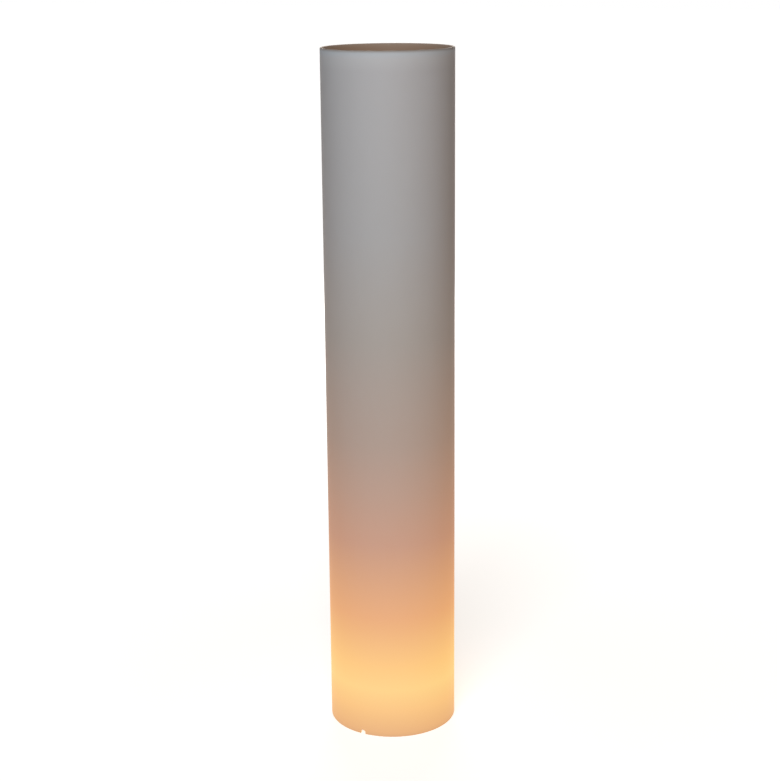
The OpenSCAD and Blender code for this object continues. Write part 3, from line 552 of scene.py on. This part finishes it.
def tinSolder():
    # Tin solder that set on the tip: dull silver, slightly grainy
    material, tree, shader, where = newMaterial("tinSolder", Metallic=1.0)
    blotched(tree, shader, noise(tree, where, 1.5 * mm, 4.0), "#96938D", "#BEBBB4")
    roughened(tree, shader, noise(tree, where, 0.7 * mm), 0.32, 0.52)
    addBump(tree, shader, noise(tree, where, 0.9 * mm, 3.0), 0.08 * mm, 0.8)
    return material


def clearGlass():
    # Lead-free stem glass, flame worked: clear, with slight waves
    material, tree, shader, where = newMaterial("flameworkedGlass", IOR=1.52, Transmission_Weight=1.0)
    blotched(tree, shader, noise(tree, where, 5 * mm), "#EDF3F1", "#F6F9F8")
    roughened(tree, shader, noise(tree, where, 2 * mm), 0.01, 0.05)
    addBump(tree, shader, noise(tree, where, 3 * mm), 0.05 * mm, 0.4)
    return material


def drawnNickel():
    # Nickel wire, drawn: grey and satin, heat-toned by the filament
    material, tree, shader, where = newMaterial("drawnNickelWire", Metallic=1.0)
    blotched(tree, shader, noise(tree, where, 2 * mm, 3.0), "#6B655E", "#8F8A84")
    roughened(tree, shader, noise(tree, where, 0.6 * mm), 0.28, 0.45)
    addBump(tree, shader, noise(tree, where, 0.3 * mm), 0.01 * mm, 0.5)
    return material


def glowingTungsten():
    # Wound tungsten at working heat: it glows pale yellow, with cooler orange stretches along the coil
    material, tree, shader, where = newMaterial("glowingTungsten", Roughness=0.6, Emission_Strength=6.0)
    heat = noise(tree, where, 6 * mm, 1.0)
    glow = [(0.3, "#FFB056"), (0.6, "#FFE2A6")]
    ramp = addNode(tree, "ShaderNodeValToRGB", links={"Fac": heat}, stops=glow)
    tree.links.new(ramp.outputs["Color"], shader.inputs["Emission Color"])
    blotched(tree, shader, heat, "#7A6248", "#9A8468")
    return material


# The bulb's glass: its heights and the globe's radius come from the frame
globe = {"neck": 12 * mm, "fillet": 10 * mm, "wall": 0.8 * mm, "columns": 128, "steps": 40, "filletSteps": 14}


def globePoints():
    # Inside wall from the top down to the neck's rim, then the outside back up: a globe, a hollow fillet
    # that touches it, and a straight neck, all turned round the axis
    low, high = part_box("bulb_glass")
    radius, neck, fillet = high.x, globe["neck"], globe["fillet"]
    middle = high.z - radius
    filletX = neck + fillet
    filletZ = middle - math.sqrt((radius + fillet) ** 2 - filletX ** 2)
    lean = math.degrees(math.atan2(middle - filletZ, filletX))
    walls = []
    for inset in (globe["wall"], 0.0):
        ball = arc((0.0, middle), radius - inset, 90, -lean, globe["steps"])
        ball[0, 0] = 0.0
        hollow = arc((filletX, filletZ), fillet + inset, 180 - lean, 180, globe["filletSteps"])[1:]
        rim = np.array([[neck - inset, low.z]])
        walls.append(np.concatenate([ball, hollow, rim]))
    profile = np.concatenate([walls[0], walls[1][::-1]])
    return spun(profile[:, :1], profile[:, 1:], roundAngles(globe["columns"]))


# the round thread that the cap and the lampholder's shell share
thread = {"pitch": 3.6 * mm, "depth": 0.95 * mm}


def threadShare(z, low, high):
    # a thread starts and ends over half a pitch
    return np.clip(np.minimum(z - low, high - z) / (thread["pitch"] / 2), 0, 1)


def threadCrest(z, angle):
    # right-handed round thread: 1 on the crest, 0 in the root
    return (1 + np.cos(turn * z / thread["pitch"] - angle)) / 2


# The bulb's cap: root, skirt and the insides are radii, and threadFrom, threadTo, flareTo, innerTo and
# neckFrom are heights over its lower rim. A pinch falls off round its middle as a bell curve.
cap = {"root": 12.2 * mm, "skirt": 13.35 * mm, "wall": 0.6 * mm, "rimInside": 10.2 * mm,
       "neckInside": 12.1 * mm, "threadFrom": 1.2 * mm, "threadTo": 17.2 * mm, "flareTo": 18.4 * mm,
       "innerTo": 16.8 * mm, "neckFrom": 17.7 * mm, "rimThick": 0.8 * mm, "rimRound": 0.4 * mm,
       "lip": 0.2 * mm, "pinches": 8, "pinchDepth": 0.12 * mm, "pinchWidth": 0.7 * mm,
       "pinchBelowTop": 1.7 * mm, "columns": 192, "rimSteps": 5, "threadSteps": 90, "flareSteps": 6,
       "collarSteps": 17, "lipSteps": 4}


def capPoints():
    # Outside from the lower rim up, over the top and down the inside. The radius follows the thread, and
    # a row of small pinches in the skirt holds the glass.
    low, high = (corner.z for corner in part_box("bulb_cap"))
    threadLow, threadHigh, flareTop = (low + cap[k] for k in ("threadFrom", "threadTo", "flareTo"))
    root, skirt, bend, lip = (cap[k] for k in ("root", "skirt", "rimRound", "lip"))
    rolled = np.linspace(threadLow, threadHigh, cap["threadSteps"])
    flare = np.linspace([root, threadHigh], [skirt, flareTop], cap["flareSteps"])[1:]
    collar = np.linspace([skirt, flareTop], [skirt, high - lip], cap["collarSteps"])[1:]
    outside = np.concatenate([
        arc((root - bend, low + bend), bend, -90, 0, cap["rimSteps"]),
        np.stack([np.full(len(rolled), root), rolled], -1),
        flare,
        collar,
        arc((skirt - lip, high - lip), lip, 0, 90, cap["lipSteps"])[1:]])
    inner, neck, rim, floor = root - cap["wall"], cap["neckInside"], cap["rimInside"], low + cap["rimThick"]
    inside = np.array([[neck, high], [neck, low + cap["neckFrom"]], [inner, low + cap["innerTo"]],
                       [inner, floor], [rim, floor], [rim, low]])
    profile = np.concatenate([outside, inside])
    angle = roundAngles(cap["columns"])
    r, z = profile[:, :1], profile[:, 1:]
    outer = np.arange(len(profile))[:, None] < len(outside)
    rise = thread["depth"] * threadShare(z, threadLow, threadHigh) * threadCrest(z, angle)
    step = turn / cap["pinches"]
    fromPinch = (np.mod(angle + step / 2, step) - step / 2) * skirt
    away = fromPinch ** 2 + (z - high + cap["pinchBelowTop"]) ** 2
    pinch = cap["pinchDepth"] * np.exp(-away / cap["pinchWidth"] ** 2)
    return spun(r + np.where(outer, rise - pinch, 0), z, angle)


# the filament: a fine wire coiled along an arch of archAngle degrees
filament = {"archRadius": 9 * mm, "archAngle": 260.0, "coil": 0.24 * mm, "coilPitch": 0.34 * mm,
            "coilSteps": 12, "strand": 0.06 * mm, "sides": 5}


def filamentPath():
    # A fine coil wound round an arch: the coil's angle runs with the distance along the arch
    radius, arch = filament["archRadius"], math.radians(filament["archAngle"])
    middle = sum(corner.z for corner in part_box("bulb_filament")) / 2
    turns = radius * arch / filament["coilPitch"]
    t = np.linspace(0, 1, int(turns) * filament["coilSteps"] + 1)
    angle = -turn / 4 + (turn - arch) / 2 + arch * t
    outward = np.stack([np.cos(angle), np.sin(angle), 0 * t], -1)
    wind = turn * turns * t
    offset = outward * np.cos(wind)[:, None] + np.array([0, 0, 1.0]) * np.sin(wind)[:, None]
    return outward * radius + offset * filament["coil"] + [0, 0, middle], offset


def makeBulb():
    glass = meshPiece("etched_globe", globePoints(), etchedGlass(), poles=(True, True))
    place(glass, "bulb", "bulb_glass")
    rolledCap = meshPiece("rolled_cap", capPoints(), rolledAluminium(), closedRows=True)
    place(rolledCap, "bulb", "bulb_cap")
    path, offset = filamentPath()
    wound = tubeAlong(path, filament["strand"], filament["sides"], offset)
    coil = meshPiece("wound_filament", wound, glowingTungsten(), poles=(True, True))
    place(coil, "bulb", "bulb_filament")


makeBulb()
print("bulb made")


# The lampholder's shell: outside and inside are radii. The thread starts threadStart over its lower end and
# stops threadStop under its rim. Its heights come from the frame.
shell = {"outside": 14.4 * mm, "inside": 13.5 * mm, "threadStart": 9 * mm, "threadStop": 1.8 * mm,
         "rimRound": 0.3 * mm, "columns": 192, "plainSteps": 8, "rimSteps": 4, "threadSteps": 120}


def shellPoints():
    # Plain outside up, over the rim and down the thread: the inside narrows between the crests
    low, high = (corner.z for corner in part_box("holder_shell"))
    outside, inside, bend = shell["outside"], shell["inside"], shell["rimRound"]
    threadLow, threadHigh = low + shell["threadStart"], high - shell["threadStop"]
    up = np.linspace([outside, low], [outside, high - bend], shell["plainSteps"])
    rim = arc((outside - bend, high - bend), bend, 0, 90, shell["rimSteps"])[1:]
    down = np.linspace([inside, high], [inside, low], shell["threadSteps"])
    profile = np.concatenate([up, rim, down])
    angle = roundAngles(shell["columns"])
    r, z = profile[:, :1], profile[:, 1:]
    inner = np.arange(len(profile))[:, None] >= len(up) + len(rim)
    narrow = thread["depth"] * threadShare(z, threadLow, threadHigh) * (1 - threadCrest(z, angle))
    return spun(r - np.where(inner, narrow, 0), z, angle)


def makeShell():
    # nickel over brass: paler than bare brass, and brighter
    plated = sheetBrass("nickelPlatedBrass", "#B5AC92", "#D6CFB8", 0.18, 0.32)
    piece = meshPiece("threaded_shell", shellPoints(), plated, closedRows=True)
    place(piece, "base", "holder_shell")


makeShell()
print("lampholder shell made")


# Inner wires in mm: poles of the terminal block, the lampholder's screws and the earth lug. The stripe takes
# stripeColumns of every stripeEvery columns of a wire's skin. ringStep parts the two rings at an end of the
# insulation, as a share of the bare end's length.
wiring = {"radius": 1.15, "bare": 0.55, "sides": 20, "poleIn": -40.5, "poleOut": -34.9, "poleZ": 19.65,
          "leadFrom": (5.0, -32.6), "leadTo": (8.65, -21.15, 25.3), "leadEnd": -20.1, "leadTip": -14.6,
          "earthX": -15.0, "earthStart": -33.9, "bend": 5.0, "lug": (-21.05, -25.0, 15.8), "lugTip": -26.55,
          "leadSteps": 28, "earthSteps": 19, "stripeColumns": 3, "stripeEvery": 10, "ringStep": 1e-4}


def leadRoute(side):
    # straight out of the pole, then one smooth bend that rises and swings out: s = t * t * (3 - 2 * t)
    (fromX, fromY), (toX, toY, toZ) = wiring["leadFrom"], wiring["leadTo"]
    t = np.linspace(0, 1, wiring["leadSteps"])
    s = t * t * (3 - 2 * t)
    bend = np.stack([side * (fromX + (toX - fromX) * s), fromY + (toY - fromY) * t,
                     wiring["poleZ"] + (toZ - wiring["poleZ"]) * s], -1)
    start = [[side * fromX, wiring["poleOut"], wiring["poleZ"]]]
    return np.concatenate([start, bend, [[side * toX, wiring["leadEnd"], toZ]]])


def earthRoute():
    # a quarter bend towards the lug that sinks as it turns
    lugX, lugY, lugZ = wiring["lug"]
    a = np.radians(np.linspace(0, 90, wiring["earthSteps"]))
    drop = wiring["poleZ"] - lugZ
    bend = np.stack([wiring["earthX"] - wiring["bend"] * (1 - np.cos(a)),
                     lugY - wiring["bend"] + wiring["bend"] * np.sin(a),
                     wiring["poleZ"] - drop * (1 - np.cos(2 * a)) / 2], -1)
    start = [[wiring["earthX"], y, wiring["poleZ"]] for y in (wiring["poleOut"], wiring["earthStart"])]
    return np.concatenate([start, bend, [[lugX, lugY, lugZ]]])


def makeWire(name, node, route, lastTip, materials):
    # The insulation and its two bare ends, of which the first is in the pole, are one skin of rings. Where
    # the insulation ends, two rings lie nearly in one place. The materials are the insulation, the copper
    # of the two outer rows of faces at each end and, on a striped wire, the stripe's.
    tips = np.array([[route[0, 0], wiring["poleIn"], route[0, 2]], lastTip])
    path = np.concatenate([tips[:1], route[:1], route, route[-1:], tips[1:]])
    path[1] += (path[2] - path[0]) * wiring["ringStep"]
    path[-2] += (path[-1] - path[-3]) * wiring["ringStep"]
    bare = [wiring["bare"]] * 2
    radius = np.concatenate([bare, np.full(len(route), wiring["radius"]), bare])
    points = tubeAlong(path * mm, radius * mm, wiring["sides"], np.tile([0.0, 0.0, 1.0], (len(path), 1)))
    wire = meshPiece(name, points, materials[0], poles=(True, True))
    for material in materials[1:]:
        wire.data.materials.append(material)
    index = np.zeros((len(path) - 1, wiring["sides"]), np.int32)
    if len(materials) > 2:
        index[:, np.arange(wiring["sides"]) % wiring["stripeEvery"] < wiring["stripeColumns"]] = 2
    index[[0, 1, -2, -1]] = 1
    caps = np.ones(2 * wiring["sides"], np.int32)
    wire.data.polygons.foreach_set("material_index", np.concatenate([index.ravel(), caps]))
    place(wire, "base", node)


def makeWires():
    copper = strandedCopper()
    leads = {"live": (1, "brown_insulation", extrudedPvc("brownPvc", "#4A2A1B", "#5E3825")),
             "neutral": (-1, "blue_insulation", extrudedPvc("bluePvc", "#1F4F9E", "#2F66BC"))}
    for name, (side, slot, pvc) in leads.items():
        route = leadRoute(side)
        tip = [route[-1, 0], wiring["leadTip"], route[-1, 2]]
        makeWire(name + "_lead", name + "_wire", route, tip, [pvc, copper])
    route = earthRoute()
    tip = [wiring["lugTip"], route[-1, 1], route[-1, 2]]
    green = extrudedPvc("greenPvc", "#2C7A33", "#3C9443")
    yellow = extrudedPvc("yellowPvc", "#D8C21E", "#EAD53A")
    makeWire("earth_lead", "earth_wire", route, tip, [green, copper, yellow])


makeWires()
print("inner wires made")


def finishNodes():
    # the nodes whose exact shape stays as it is get the finish of the real part
    brass = sheetBrass("stampedBrass", "#A37C38", "#CBA75E", 0.22, 0.4)
    finishes = {
        whitePowderCoat(): ["base_plate", "wiring_cover"],
        mouldedRubber(): ["rubber_feet", "cord_grommet"],
        zincPlatedSteel(): ["foot_screws", "terminal_screws", "block_screws", "bracket_screws",
                            "holder_screws", "holder_terminal_screws", "earth_screw", "cover_screws",
                            "holder_bracket", "earth_lug"],
        glazedPorcelain(): ["holder_body"],
        brass: ["centre_contact", "side_contact", "terminal_inserts"],
        mouldedPolyamide(): ["terminal_block"],
        blackGlass(): ["bulb_insulator"],
        tinSolder(): ["bulb_contact"],
        clearGlass(): ["bulb_stem"],
        drawnNickel(): ["bulb_leads"],
    }
    for material, names in finishes.items():
        for name in names:
            finishNode(name, material)


finishNodes()
print("carried nodes finished")
